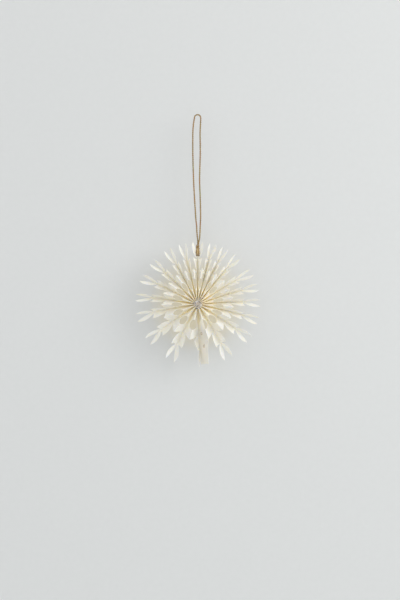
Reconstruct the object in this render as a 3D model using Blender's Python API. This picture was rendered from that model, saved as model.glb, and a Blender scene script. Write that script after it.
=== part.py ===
"""Paper snowflake decoration: a pleated, cut-paper rosette on a loop of twine.

One strip of heavy paper is folded to and fro into panels. A window and three leaves are cut through
the folded pack, a wire gathers the pleats at the inner edge, and the pack is fanned into a disc and
closed. Seen from the front (along +Y), each back fold is the stem of a V-shaped ray, and each front
fold stands half way between two stems. The twine loop hangs over a nail.

Metres. X is right, Z is up, and the front faces -Y. The origin is the inside top of the twine loop,
where it bears on its nail.
"""

from math import asin, cos, pi, radians, sin, sqrt

import bmesh
import bpy
from mathutils import Vector
from mathutils.geometry import delaunay_2d_cdt

# The sheet and its folds
PAPER_THICKNESS = 0.0003
PLEAT_DEPTH = 0.018
INNER_RADIUS = 0.004
SNOWFLAKE_RADIUS = 0.075

# The directions of the stems, in degrees anticlockwise from +X. The pleats crowd together at the top,
# where the twine holds them, and open out at the bottom. The first is the ray that the twine holds.
STEM_ANGLES = [90, 103.5, 117.4, 134.7, 151.9, 170.4, 188.8, 213.5, 241.9, 273,
               301.6, 329, 348.2, 364.8, 379.2, 393.4, 412.4, 425.3, 436.3]
HUNG_RAY = 0
CLOSING_RAY = 9

# The cuts. Places along a panel are distances from the snowflake's centre, and places across it are
# distances from its stem.
WINDOW_START = 0.0186
WINDOW_END = 0.031
WINDOW_DEPTH = 0.0106
INNER_LEAF_TIP = 0.043
INNER_NOTCH = 0.0368
INNER_NOTCH_RIB = 0.0026
MIDDLE_LEAF_TIP = 0.0565
MIDDLE_LEAF_TIP_ACROSS = 0.0098
MIDDLE_LEAF_BULGE = 0.0120
OUTER_NOTCH = 0.0546
OUTER_NOTCH_RIB = 0.0022
STEM_END = 0.056
OUTER_LEAF_TIP_ACROSS = 0.0065
OUTER_LEAF_BULGE = 0.0102
CLOSING_PANEL_LENGTH = 0.072

# How the leaves hang: free leaves spring open, and gravity draws rays and leaves down
SPRING_OPEN = radians(18)
LEAF_SAG = radians(7)
RAY_DROOP = radians(3)
SEAM_LEAVES_SHUT = radians(26)
SEAM_STRIP_SHUT = radians(7)
SEAM_SHUT_OVER = 0.013
EYE_SPREAD = radians(40)

# The binding wire, and the hole for it in each panel
WIRE_DIAMETER = 0.0006
WIRE_HOLE_DIAMETER = 0.0014
WIRE_HOLE_MARGIN = 0.0006
WIRE_ACROSS = 0.010
WIRE_TWIST_PITCH = 0.0034
WIRE_TWIST_GAP = 0.0002
WIRE_TWIST_STAND_OFF = 0.0014

# The twine
TWINE_DIAMETER = 0.0018
TWINE_CLEARANCE = 0.0005
EYE_HEIGHT = -0.168
EYE_HALF_WIDTH = 0.00135
EYE_REACH_FORWARD = 0.0046
EYE_REACH_BEHIND = 0.0017
HUNG_HOLE_RADIUS_OUT = 0.0586
HUNG_HOLE_MARGIN = 0.0003
KNOT_RISE = 0.0095
KNOT_HALF_HEIGHT = 0.0028
KNOT_HALF_WIDTH = 0.0021
KNOT_CORE_HALF_WIDTH = 0.0018
KNOT_WRAP_THICKNESS = 0.0015
SNOWFLAKE_BEFORE_TWINE = 0.0095

# The punched holes of the closing panel
PUNCH_DIAMETER = 0.0022
PUNCH_PLACES = [(0.0354, 0.0058), (0.0507, 0.0096)]

BACK, FRONT, CUT = "back fold", "front fold", "cut"
TOWARDS_FRONT = Vector((0, -1, 0))
LEFT_SIDE, RIGHT_SIDE = 1, -1
RAYS = len(STEM_ANGLES)
STEMS = [radians(angle) for angle in STEM_ANGLES]
WIRE_RADIUS_OUT = INNER_RADIUS + WIRE_HOLE_MARGIN + WIRE_HOLE_DIAMETER / 2
CENTRE = Vector((0, -SNOWFLAKE_BEFORE_TWINE, EYE_HEIGHT - HUNG_HOLE_RADIUS_OUT))


def clear_scene():
    for obj in list(bpy.data.objects):
        bpy.data.objects.remove(obj)


def make_material(name, colour, roughness, metallic=0.0):
    material = bpy.data.materials.new(name)
    material.use_nodes = True
    shader = material.node_tree.nodes["Principled BSDF"]
    shader.inputs["Base Color"].default_value = (*colour, 1)
    shader.inputs["Roughness"].default_value = roughness
    shader.inputs["Metallic"].default_value = metallic
    return material


def smooth_step(share):
    share = min(max(share, 0), 1)
    return share * share * (3 - 2 * share)


def bezier(points, steps):
    """Points after the first one along the Bezier curve that these control points give."""
    found = []
    for step in range(1, steps + 1):
        level = [Vector(point) for point in points]
        while len(level) > 1:
            level = [a.lerp(b, step / steps) for a, b in zip(level, level[1:])]
        found.append(level[0])
    return found


def through(points, steps):
    """A smooth line through these points, with this many steps from each to the next."""
    points = [Vector(point) for point in points]
    ends = [2 * points[0] - points[1], *points, 2 * points[-1] - points[-2]]
    line = [points[0]]
    for before, start, end, after in zip(ends, ends[1:], ends[2:], ends[3:]):
        pull = [start, start + (end - before) / 6, end - (after - start) / 6, end]
        line += bezier(pull, steps)
    return line


# The folded sheet

def gap_after(ray):
    """The angle from this stem to the next."""
    following = STEMS[ray + 1] if ray + 1 < RAYS else STEMS[0] + 2 * pi
    return following - STEMS[ray]


def half_gap(ray, side):
    return gap_after(ray if side == LEFT_SIDE else (ray - 1) % RAYS) / 2


def drooped(angle, radius):
    """A ray's direction at this radius: a ray that reaches sideways hangs a little."""
    return angle - RAY_DROOP * cos(angle) * (radius / SNOWFLAKE_RADIUS) ** 2


def half_depth(half_angle, radius):
    """Half of the pleats' depth, from back folds to front folds. They grow shallower as they open."""
    def held(out):
        chord = 2 * out * sin(half_angle / 2)
        return sqrt(PLEAT_DEPTH**2 - chord**2) / 2

    if radius <= INNER_LEAF_TIP:
        return held(radius)
    step = INNER_LEAF_TIP / 40
    slope = (held(INNER_LEAF_TIP) - held(INNER_LEAF_TIP - step)) / step
    return held(INNER_LEAF_TIP) + slope * (radius - INNER_LEAF_TIP)


def at(angle, radius, depth):
    return CENTRE + Vector((radius * cos(angle), depth, radius * sin(angle)))


def stem_point(ray, radius):
    depth = (half_depth(half_gap(ray, LEFT_SIDE), radius) + half_depth(half_gap(ray, RIGHT_SIDE), radius)) / 2
    return at(drooped(STEMS[ray], radius), radius, depth)


def front_point(ray, radius):
    """A point of the front fold on the left of this ray."""
    half_angle = gap_after(ray) / 2
    angle = drooped(STEMS[ray] + half_angle, radius)
    return at(angle, radius, -half_depth(half_angle, radius))


def sideways(angle):
    """The direction round the disc, anticlockwise."""
    return Vector((-sin(angle), 0, cos(angle)))


def opening(ray, side, radius):
    """The angle between a free leaf and the view from the front."""
    angle = asin(2 * INNER_LEAF_TIP * sin(half_gap(ray, side) / 2) / PLEAT_DEPTH)
    if ray == CLOSING_RAY:
        shut = SEAM_STRIP_SHUT if side == LEFT_SIDE else SEAM_LEAVES_SHUT
        return angle - shut * smooth_step((radius - INNER_LEAF_TIP) / SEAM_SHUT_OVER)
    free = smooth_step((radius - INNER_LEAF_TIP) / (SNOWFLAKE_RADIUS - INNER_LEAF_TIP))
    if ray == HUNG_RAY:
        return angle + free * EYE_SPREAD
    return angle + free * (SPRING_OPEN - side * cos(STEMS[ray]) * LEAF_SAG)


def across_panel(ray, side, radius):
    """The direction across a panel, from its stem towards its front fold."""
    stem = stem_point(ray, radius)
    if radius <= INNER_LEAF_TIP:
        front = front_point(ray if side == LEFT_SIDE else (ray - 1) % RAYS, radius)
        return (front - stem) / PLEAT_DEPTH
    angle = opening(ray, side, radius)
    middle = drooped(STEMS[ray], radius) + side * half_gap(ray, side) / 2
    return side * sin(angle) * sideways(middle) + cos(angle) * TOWARDS_FRONT


def panel_point(ray, side, out, across, off=0.0):
    """The place of a point of a flat panel once it is folded, this far off its middle surface."""
    direction = across_panel(ray, side, out)
    angle = drooped(STEMS[ray], out)
    outwards = Vector((cos(angle), 0, sin(angle)))
    inside = side * outwards.cross(direction).normalized()
    return stem_point(ray, out) + across * direction + off * inside


BACK_STATIONS = [INNER_RADIUS, 0.009, 0.0135, WINDOW_START, 0.0248, WINDOW_END, INNER_NOTCH,
                 INNER_LEAF_TIP, 0.0495, STEM_END]
FRONT_STATIONS = [[INNER_RADIUS, 0.009, 0.0135, WINDOW_START], [WINDOW_END, 0.037, INNER_LEAF_TIP]]


def back_edge():
    return [(out, 0.0, BACK) for out in BACK_STATIONS]


def front_edge(stations):
    return [(out, PLEAT_DEPTH, FRONT) for out in reversed(stations)]


def cut(points):
    return [(out, across, CUT) for out, across in points]


def window_cut():
    """The round end of a window: half an ellipse from the outer end of the front fold to its inner one."""
    steps = 10
    middle, reach = (WINDOW_END + WINDOW_START) / 2, (WINDOW_END - WINDOW_START) / 2
    turns = [pi * step / steps for step in range(1, steps)]
    return cut([(middle + reach * cos(turn), PLEAT_DEPTH - WINDOW_DEPTH * sin(turn)) for turn in turns])


def outer_leaf_inside(out):
    """How far the outer leaf's inner edge is from the stem's line: a curve of the second degree."""
    share = (out - STEM_END) / (SNOWFLAKE_RADIUS - STEM_END)
    return OUTER_LEAF_TIP_ACROSS * share * (0.7 + 0.3 * share)


def leafy_outline():
    """A cut panel: up its stem, back along the three leaves, and in along the front fold."""
    outer_tip = (SNOWFLAKE_RADIUS, OUTER_LEAF_TIP_ACROSS)
    outer_notch = (OUTER_NOTCH, OUTER_NOTCH_RIB)
    middle_tip = (MIDDLE_LEAF_TIP, MIDDLE_LEAF_TIP_ACROSS)
    inner_notch = (INNER_NOTCH, INNER_NOTCH_RIB)
    outer_length = SNOWFLAKE_RADIUS - OUTER_NOTCH
    middle_length = MIDDLE_LEAF_TIP - INNER_NOTCH
    inside_places = [STEM_END + share * (SNOWFLAKE_RADIUS - STEM_END) for share in (0.25, 0.5, 0.75, 1.0)]
    outer_inside = [(out, outer_leaf_inside(out)) for out in inside_places]
    outer_outside = [
        outer_tip,
        (OUTER_NOTCH + 0.78 * outer_length, OUTER_LEAF_BULGE),
        (OUTER_NOTCH + 0.27 * outer_length, 0.94 * OUTER_LEAF_BULGE),
        outer_notch,
    ]
    middle_inside = [
        outer_notch,
        (OUTER_NOTCH - OUTER_NOTCH_RIB / 2, (OUTER_NOTCH_RIB + MIDDLE_LEAF_TIP_ACROSS) / 2),
        middle_tip,
    ]
    middle_outside = [
        middle_tip,
        (INNER_NOTCH + 0.75 * middle_length, MIDDLE_LEAF_BULGE),
        (INNER_NOTCH + 0.26 * middle_length, 0.9 * MIDDLE_LEAF_BULGE),
        inner_notch,
    ]
    inner_outside = [
        inner_notch,
        ((INNER_NOTCH + INNER_LEAF_TIP) / 2, PLEAT_DEPTH * 0.42),
        (INNER_LEAF_TIP, PLEAT_DEPTH),
    ]
    leaves = outer_inside + bezier(outer_outside, 6) + bezier(middle_inside, 3)
    leaves += bezier(middle_outside, 6) + bezier(inner_outside, 4)[:-1]
    outline = back_edge() + cut(leaves) + front_edge(FRONT_STATIONS[1])
    return outline + window_cut() + front_edge(FRONT_STATIONS[0])


def plain_outline():
    """The closing panel: left uncut, a plain strip that ends a little short of the leaves."""
    middle = (STEM_END + CLOSING_PANEL_LENGTH) / 2
    end = [
        (middle, 0),
        (CLOSING_PANEL_LENGTH, 0),
        (CLOSING_PANEL_LENGTH, PLEAT_DEPTH / 2),
        (CLOSING_PANEL_LENGTH, PLEAT_DEPTH),
        (middle, PLEAT_DEPTH),
        (STEM_END, PLEAT_DEPTH),
        ((INNER_LEAF_TIP + STEM_END) / 2, PLEAT_DEPTH),
    ]
    beside_window = [
        (WINDOW_START + share * (WINDOW_END - WINDOW_START), PLEAT_DEPTH) for share in (0.75, 0.5, 0.25)
    ]
    outline = back_edge() + cut(end) + front_edge(FRONT_STATIONS[1])
    return outline + cut(beside_window) + front_edge(FRONT_STATIONS[0])


def round_hole(out, across, diameter, corners):
    """A hole with this many corners that is nowhere narrower than its diameter."""
    radius = diameter / 2 / cos(pi / corners)
    turns = [2 * pi * (corner + 0.5) / corners for corner in range(corners)]
    return cut([(out + radius * cos(turn), across + radius * sin(turn)) for turn in turns])


def twine_hole_place():
    """The hole for the twine keeps a margin of paper to the inner edge of the outer leaf."""
    radius = TWINE_DIAMETER / 2 + TWINE_CLEARANCE
    return HUNG_HOLE_RADIUS_OUT, outer_leaf_inside(HUNG_HOLE_RADIUS_OUT + radius) + radius + HUNG_HOLE_MARGIN


def flat_panel(outline, holes):
    """The corners of a flat panel, the loops they form and the triangles between them."""
    core_middle = [(out, PLEAT_DEPTH / 2, CUT) for out in BACK_STATIONS[1:3]]
    loops, corners = [], []
    for loop in [outline, *holes]:
        loops.append(range(len(corners), len(corners) + len(loop)))
        corners += loop
    edges = [(loop[i - 1], loop[i]) for loop in loops for i in range(len(loop))]
    corners = corners + core_middle
    places = [Vector(corner[:2]) / PLEAT_DEPTH for corner in corners]
    _, _, faces, origins, _, _ = delaunay_2d_cdt(places, edges, [], 1, 1e-7)
    triangles = [[origins[corner][0] for corner in face] for face in faces]
    hole_loops = [set(loop) for loop in loops[1:]]
    triangles = [face for face in triangles if not any(loop.issuperset(face) for loop in hole_loops)]
    return corners, loops, triangles


class FoldedSheet:
    """Collects the sheet's corners and faces. Each panel has an inner face, which looks into its ray,
    and an outer face. At a fold the sheet has one corner inside the crease and two outside it."""

    def __init__(self):
        self.mesh = bmesh.new()
        self.known = {}

    def corner(self, key, place):
        if key not in self.known:
            self.known[key] = self.mesh.verts.new(place)
        return self.known[key]

    def face(self, corners):
        self.mesh.faces.new(corners)

    def crease(self, key, place, first, second, first_side):
        """The corners of a fold at one place: inside the crease, and outside it on either side."""
        bisector = (first + second).normalized()
        half_sine = (first - second).length / 2
        half = PAPER_THICKNESS / 2
        inside = self.corner((*key, "in"), place + bisector * half / half_sine)
        first_out = self.corner((*key, "out", 0), place - bisector * half + first_side * half)
        second_out = self.corner((*key, "out", 1), place - bisector * half - first_side * half)
        return inside, first_out, second_out

    def back_crease(self, ray, out):
        directions = [across_panel(ray, side, out).normalized() for side in (LEFT_SIDE, RIGHT_SIDE)]
        round_disc = sideways(drooped(STEMS[ray], out))
        return self.crease((BACK, ray, out), stem_point(ray, out), *directions, round_disc)

    def front_crease(self, ray, out):
        place = front_point(ray, out)
        right_way = (stem_point(ray, out) - place).normalized()
        left_way = (stem_point((ray + 1) % RAYS, out) - place).normalized()
        round_disc = sideways(drooped(STEMS[ray] + gap_after(ray) / 2, out))
        return self.crease((FRONT, ray, out), place, left_way, right_way, round_disc)

    def panel_corner(self, ray, side, number, corner, inner):
        out, across, kind = corner
        if kind == BACK:
            crease = self.back_crease(ray, out)
            return crease[0] if inner else crease[1 if side == LEFT_SIDE else 2]
        if kind == FRONT:
            crease = self.front_crease(ray if side == LEFT_SIDE else (ray - 1) % RAYS, out)
            return crease[2 if side == LEFT_SIDE else 1] if inner else crease[0]
        off = PAPER_THICKNESS / 2 if inner else -PAPER_THICKNESS / 2
        return self.corner((ray, side, number, inner), panel_point(ray, side, out, across, off))

    def add_panel(self, ray, side, panel):
        corners, loops, triangles = panel
        faces = {}
        for inner in (True, False):
            faces[inner] = [
                self.panel_corner(ray, side, number, corner, inner) for number, corner in enumerate(corners)
            ]
            for triangle in triangles:
                self.face([faces[inner][number] for number in triangle])
        for loop in loops:
            for i in range(len(loop)):
                start, end = loop[i - 1], loop[i]
                kinds = {corners[start][2], corners[end][2]}
                if len(kinds) == 1 and CUT not in kinds:
                    continue
                self.face([faces[True][start], faces[True][end], faces[False][end], faces[False][start]])

    def add_crease(self, creases):
        """The narrow strip on the outside of a fold, and the two triangles that close its ends."""
        for (_, a, b), (_, c, d) in zip(creases, creases[1:]):
            self.face([a, c, d, b])
        self.face(list(creases[0]))
        self.face(list(creases[-1]))

    def finish(self, name, material):
        bmesh.ops.triangulate(self.mesh, faces=[face for face in self.mesh.faces if len(face.verts) > 3])
        bmesh.ops.recalc_face_normals(self.mesh, faces=self.mesh.faces)
        if self.mesh.calc_volume(signed=True) < 0:
            bmesh.ops.reverse_faces(self.mesh, faces=self.mesh.faces)
        return finish_mesh(self.mesh, name, material)


def finish_mesh(mesh, name, material):
    data = bpy.data.meshes.new(name)
    mesh.to_mesh(data)
    mesh.free()
    data.materials.append(material)
    obj = bpy.data.objects.new(name, data)
    bpy.context.scene.collection.objects.link(obj)
    return obj


def make_paper_star(material):
    wire_hole = round_hole(WIRE_RADIUS_OUT, WIRE_ACROSS, WIRE_HOLE_DIAMETER, 6)
    twine_hole_diameter = TWINE_DIAMETER + 2 * TWINE_CLEARANCE
    twine_hole = round_hole(*twine_hole_place(), twine_hole_diameter, 10)
    punch_holes = [round_hole(*place, PUNCH_DIAMETER, 8) for place in PUNCH_PLACES]
    leafy = flat_panel(leafy_outline(), [wire_hole])
    hung = flat_panel(leafy_outline(), [wire_hole, twine_hole])
    plain = flat_panel(plain_outline(), [wire_hole, *punch_holes])
    sheet = FoldedSheet()
    for ray in range(RAYS):
        for side in (LEFT_SIDE, RIGHT_SIDE):
            closing = ray == CLOSING_RAY and side == LEFT_SIDE
            sheet.add_panel(ray, side, plain if closing else hung if ray == HUNG_RAY else leafy)
        sheet.add_crease([sheet.back_crease(ray, out) for out in BACK_STATIONS])
        for stations in FRONT_STATIONS:
            sheet.add_crease([sheet.front_crease(ray, out) for out in stations])
    return sheet.finish("paper_star", material)


# The wire and the twine

def make_tube(name, line, diameter, sides_level, material):
    curve = bpy.data.curves.new(name, "CURVE")
    curve.dimensions = "3D"
    curve.bevel_depth = diameter / 2
    curve.bevel_resolution = sides_level
    curve.use_fill_caps = True
    curve.twist_mode = "MINIMUM"
    spline = curve.splines.new("POLY")
    spline.points.add(len(line) - 1)
    for point, place in zip(spline.points, line):
        point.co = (*place, 1)
    curve.materials.append(material)
    obj = bpy.data.objects.new(name, curve)
    bpy.context.scene.collection.objects.link(obj)
    return obj


def wire_end(ray, towards):
    """One end of the wire: out of the ring, forward between two panels, to the front of the pleats."""
    angle = STEMS[ray]
    bend = WIRE_DIAMETER * 1.2
    ring_depth = PLEAT_DEPTH / 2 - WIRE_ACROSS
    line = []
    for step in range(4):
        turn = pi / 2 * step / 3
        place = at(angle, WIRE_RADIUS_OUT, ring_depth - bend * (1 - cos(turn)))
        line.append(place - towards * sideways(angle) * bend * (1 - sin(turn)))
    before_pleats = -PLEAT_DEPTH / 2 - WIRE_DIAMETER
    line.append(at(angle, WIRE_RADIUS_OUT, (ring_depth + before_pleats) / 2))
    line.append(at(angle, WIRE_RADIUS_OUT, before_pleats))
    return line


# The curl of the twisted wire ends: degrees on from where they meet, and shares of the wire ring's radius
WIRE_CURL = [(0, 1.0), (12, 0.86), (50, 0.77), (100, 0.74), (150, 0.72), (200, 0.68), (250, 0.61),
             (300, 0.51), (350, 0.39), (405, 0.27)]


def wire_twist(phase):
    """One strand of the wire's ends, which are twisted together and curled flat over the open centre."""
    meeting = STEMS[CLOSING_RAY - 1] + gap_after(CLOSING_RAY - 1) / 2
    depth = -PLEAT_DEPTH / 2 - WIRE_TWIST_STAND_OFF
    axis = through([at(meeting + radians(on), WIRE_RADIUS_OUT * share, depth) for on, share in WIRE_CURL], 4)
    reach = (WIRE_DIAMETER + WIRE_TWIST_GAP) / 2
    strand, gone = [], 0.0
    for i, place in enumerate(axis):
        along = (axis[min(i + 1, len(axis) - 1)] - axis[max(i - 1, 0)]).normalized()
        gone += (place - axis[max(i - 1, 0)]).length
        turn = 2 * pi * gone / WIRE_TWIST_PITCH + phase
        level = along.cross(TOWARDS_FRONT).normalized()
        strand.append(place + reach * (cos(turn) * level + sin(turn) * along.cross(level)))
    return strand


def make_binding_wire(material):
    """A ring through the panels, from the closing ray round to the ray before it, with twisted ends."""
    first, last = CLOSING_RAY, CLOSING_RAY - 1
    start, sweep = STEMS[first], 2 * pi - gap_after(last)
    margin = WIRE_DIAMETER * 2 / WIRE_RADIUS_OUT
    steps = 40
    ring_depth = PLEAT_DEPTH / 2 - WIRE_ACROSS
    turns = [start + margin + (sweep - 2 * margin) * step / steps for step in range(steps + 1)]
    ring = [at(turn, WIRE_RADIUS_OUT, ring_depth) for turn in turns]
    start_end = wire_end(first, -1)
    far_end = wire_end(last, 1)
    line = wire_twist(pi)[::-1] + start_end[::-1] + ring + far_end + wire_twist(0)
    return make_tube("binding_wire", line, WIRE_DIAMETER, 1, material)


# Places of the loop's centre line, up the left side, over the nail and down the right. Just above the knot
# the strands lie close, the right one before the left
LOOP_ROUTE = [
    (0.00005, 0.00085, -0.1552), (0.0002, 0.00075, -0.1516), (0.0, 0.0005, -0.1482),
    (-0.0005, 0.00025, -0.1446), (-0.0009, 0.0001, -0.1398), (-0.0013, 0, -0.1320), (-0.0022, 0, -0.1240),
    (-0.0034, 0, -0.1050), (-0.0045, 0, -0.0860), (-0.0053, 0, -0.0660), (-0.0058, 0, -0.0440),
    (-0.0058, 0, -0.0220), (-0.0053, 0, -0.0130), (-0.0047, 0, -0.0080), (-0.0042, 0, -0.0050),
    (-0.00387, 0, -0.0029), (-0.00338, 0, -0.0010), (-0.0020, 0, 0.0004), (-0.0001, 0, 0.0009),
    (0.0018, 0, 0.0004), (0.00319, 0, -0.0010), (0.0037, 0, -0.0029), (0.0037, 0, -0.0050),
    (0.0035, 0, -0.0080), (0.0032, 0, -0.0130), (0.0029, 0, -0.0220), (0.0031, 0, -0.0440),
    (0.0026, 0, -0.0640), (0.0023, 0, -0.0780), (0.0030, 0, -0.0980), (0.0035, 0, -0.1200),
    (0.0031, 0, -0.1320), (0.0028, -0.0001, -0.1398), (0.0025, -0.00025, -0.1452),
    (0.0019, -0.0006, -0.1494), (0.0012, -0.0008, -0.1522), (0.00095, -0.00085, -0.1552),
]


def make_hanging_cord(material):
    return make_tube("hanging_cord", through(LOOP_ROUTE, 3), TWINE_DIAMETER, 2, material)


# Half of the eye below the knot. First behind the stem, from the middle out to the hole in the leaf: shares
# of the hole's place across and of the way from the hole to behind the stem. Then inside the ray, from the
# hole up to the knot: shares of the eye's half width, of its reach forward and of the rise to the knot
EYE_BEHIND = [(0.0, 1.0), (0.75, 0.93), (1.4, 0.68), (1.72, 0.4), (1.52, 0.14), (1.0, 0.0)]
EYE_BEFORE = [
    (0.75, 0.76, 0.01), (0.73, 0.91, 0.08), (0.88, 1.0, 0.2), (1.0, 1.05, 0.36), (0.86, 1.0, 0.53),
    (0.69, 0.78, 0.7), (0.67, 0.35, 0.86), (0.67, 0.0, 0.96),
]


# The short tail of the twine, pressed between the eye's strands: shares of the reach forward and of the rise
TAIL = [(0.0, 0.98), (0.42, 0.84), (0.88, 0.69), (1.08, 0.52), (1.12, 0.36), (1.08, 0.12)]


def eye_line():
    """The eye of twine below the knot: down inside the top ray, out through the hole in one leaf, round
    behind the stem, in through the other leaf and up again."""
    hole = panel_point(HUNG_RAY, LEFT_SIDE, *twine_hole_place())
    behind = stem_point(HUNG_RAY, HUNG_HOLE_RADIUS_OUT).y + EYE_REACH_BEHIND
    left = [(hole.x * wide, hole.y + (behind - hole.y) * back, hole.z) for wide, back in EYE_BEHIND]
    left += [
        (-EYE_HALF_WIDTH * wide, -EYE_REACH_FORWARD * forward, hole.z + KNOT_RISE * up)
        for wide, forward, up in EYE_BEFORE
    ]
    right = [(-across, depth, height) for across, depth, height in left]
    return through(left[:0:-1] + right, 2)


def tail_line():
    hole_height = panel_point(HUNG_RAY, LEFT_SIDE, *twine_hole_place()).z
    return through([(0, -EYE_REACH_FORWARD * forward, hole_height + KNOT_RISE * up) for forward, up in TAIL], 2)


def make_ring(name, place, tilt, radius, thickness, material):
    bpy.ops.mesh.primitive_torus_add(
        location=place, rotation=tilt, major_radius=radius, minor_radius=thickness,
        major_segments=18, minor_segments=8,
    )
    ring = bpy.context.object
    ring.name = name
    ring.data.materials.append(material)
    return ring


def solid_tube(name, line, diameter, material):
    """A tube as a mesh, so that it can be joined to another solid."""
    tube = make_tube(name + "_line", line, diameter, 2, material)
    bpy.context.view_layer.update()
    graph = bpy.context.evaluated_depsgraph_get()
    data = bpy.data.meshes.new_from_object(tube.evaluated_get(graph))
    bpy.data.objects.remove(tube)
    solid = bpy.data.objects.new(name, data)
    bpy.context.scene.collection.objects.link(solid)
    return solid


def join(obj, other):
    modifier = obj.modifiers.new("join_" + other.name, "BOOLEAN")
    modifier.operation = "UNION"
    modifier.solver = "EXACT"
    modifier.object = other
    other.hide_render = True
    other.display_type = "WIRE"


def make_cord_knot(material):
    """An overhand knot in both strands: two slanting wraps round a core, and below it the eye and the tail."""
    knot = Vector((0, 0, EYE_HEIGHT + KNOT_RISE))
    mesh = bmesh.new()
    bmesh.ops.create_uvsphere(mesh, u_segments=14, v_segments=9, radius=1)
    bmesh.ops.scale(mesh, vec=(KNOT_CORE_HALF_WIDTH, KNOT_CORE_HALF_WIDTH, KNOT_HALF_HEIGHT), verts=mesh.verts)
    bmesh.ops.translate(mesh, vec=knot, verts=mesh.verts)
    core = finish_mesh(mesh, "cord_knot", material)
    lift = Vector((0, 0, KNOT_HALF_HEIGHT * 0.36))
    wrap_radius = KNOT_HALF_WIDTH - TWINE_DIAMETER * 0.375
    for name, place, lean in (("upper_wrap", knot + lift, 24), ("lower_wrap", knot - lift, -20)):
        tilt = (radians(8), radians(lean), 0)
        join(core, make_ring(name, place, tilt, wrap_radius, KNOT_WRAP_THICKNESS / 2, material))
    for name, line in (("eye", eye_line()), ("tail", tail_line())):
        join(core, solid_tube(name, line, TWINE_DIAMETER, material))
    return core


def main():
    clear_scene()
    paper = make_material("cotton_paper", (0.80, 0.74, 0.60), 0.85)
    twine = make_material("jute_twine", (0.34, 0.22, 0.09), 0.9)
    wire = make_material("galvanised_wire", (0.55, 0.54, 0.50), 0.35, 1.0)
    make_paper_star(paper)
    make_binding_wire(wire)
    make_hanging_cord(twine)
    make_cord_knot(twine)


main()
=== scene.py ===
# %% [markdown]
# # A paper snowflake on a loop of twine
#
# The real thing is one strip of cotton paper, folded to and fro, cut through the folded pack, gathered on a
# wire at its centre and fanned out into a disc. It hangs by a loop of jute twine. Nothing on it moves.
# The solid model is loaded first and never changed. Each piece here is made in the same place and size as its
# solid, with the finer shape and the finish that a close look at the real one shows.

# %% Load the solid model
from math import asin, cos, degrees, pi, radians, sin, sqrt, tau
from random import Random

import bmesh
import bpy
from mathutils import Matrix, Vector, noise
from mathutils.geometry import delaunay_2d_cdt


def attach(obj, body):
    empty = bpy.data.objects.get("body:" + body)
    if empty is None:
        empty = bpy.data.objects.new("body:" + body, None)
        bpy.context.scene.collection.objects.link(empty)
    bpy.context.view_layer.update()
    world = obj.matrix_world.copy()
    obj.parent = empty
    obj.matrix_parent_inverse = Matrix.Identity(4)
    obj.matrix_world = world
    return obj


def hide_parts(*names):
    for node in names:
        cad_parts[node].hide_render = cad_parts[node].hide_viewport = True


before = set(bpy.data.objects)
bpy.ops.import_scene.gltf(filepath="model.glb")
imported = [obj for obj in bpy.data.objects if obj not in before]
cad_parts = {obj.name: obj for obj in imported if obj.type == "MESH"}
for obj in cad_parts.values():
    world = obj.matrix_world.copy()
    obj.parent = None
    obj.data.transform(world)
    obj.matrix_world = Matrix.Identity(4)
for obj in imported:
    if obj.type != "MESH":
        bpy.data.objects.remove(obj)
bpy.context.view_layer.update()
print("solids:", ", ".join(sorted(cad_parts)))

# %% [markdown]
# ## The camera
#
# The snowflake hangs at eye level and is seen straight from the front, so the camera looks along +Y from a
# metre and a half away. It could be placed by eye, but here the picture's height is worked out: one picture
# point is 1.2 mm on the object, so 600 of them are 0.72 m, and the lens follows from that.

# %% Camera
MM = 0.001
PICTURE_HEIGHT = 600 * 1.2 * MM
CAMERA_DISTANCE = 1.5
SENSOR_HEIGHT = 36.0
TWINE_DEPTH = 0.0
CAMERA_AIM = Vector((2.8 * MM, TWINE_DEPTH, -221.4 * MM))

scene = bpy.context.scene


def put(name, data):
    """A new object in the scene."""
    thing = bpy.data.objects.new(name, data)
    scene.collection.objects.link(thing)
    return thing


camera_data = bpy.data.cameras.new("front_camera")
camera_data.sensor_width = SENSOR_HEIGHT
camera_data.lens = SENSOR_HEIGHT * CAMERA_DISTANCE / PICTURE_HEIGHT
camera = put("front_camera", camera_data)
camera.location = CAMERA_AIM - Vector((0, CAMERA_DISTANCE, 0))
camera.rotation_euler = (radians(90), 0, 0)
scene.camera = camera
print(f"lens {camera_data.lens:.0f} mm at {CAMERA_DISTANCE} m")

# %% [markdown]
# ## Colours and shader nodes
#
# Colours are written as the hex values that a picture program shows. Blender works in linear light, so one
# function turns them. A shader is a small graph, and one function adds a node with its settings, its
# values and what is plugged into it, so that each material below reads as a list of what its surface has.


# %% Helpers for materials
def linear(hex_colour):
    channels = [int(hex_colour[i:i + 2], 16) / 255 for i in (0, 2, 4)]
    return (*[c / 12.92 if c <= 0.04045 else ((c + 0.055) / 1.055) ** 2.4 for c in channels], 1)


def output_of(source):
    """A node stands for the first of its outputs that is in use."""
    if isinstance(source, bpy.types.Node):
        return next(output for output in source.outputs if output.enabled)
    return source


def add_node(tree, kind, settings=(), values=(), links=()):
    """Adds a node: settings are its own choices, values go to its inputs, links are outputs plugged in."""
    node = tree.nodes.new(kind)
    for name, setting in dict(settings).items():
        setattr(node, name, setting)
    for name, value in dict(values).items():
        node.inputs[name].default_value = value
    for name, source in dict(links).items():
        tree.links.new(output_of(source), node.inputs[name])
    return node


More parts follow.
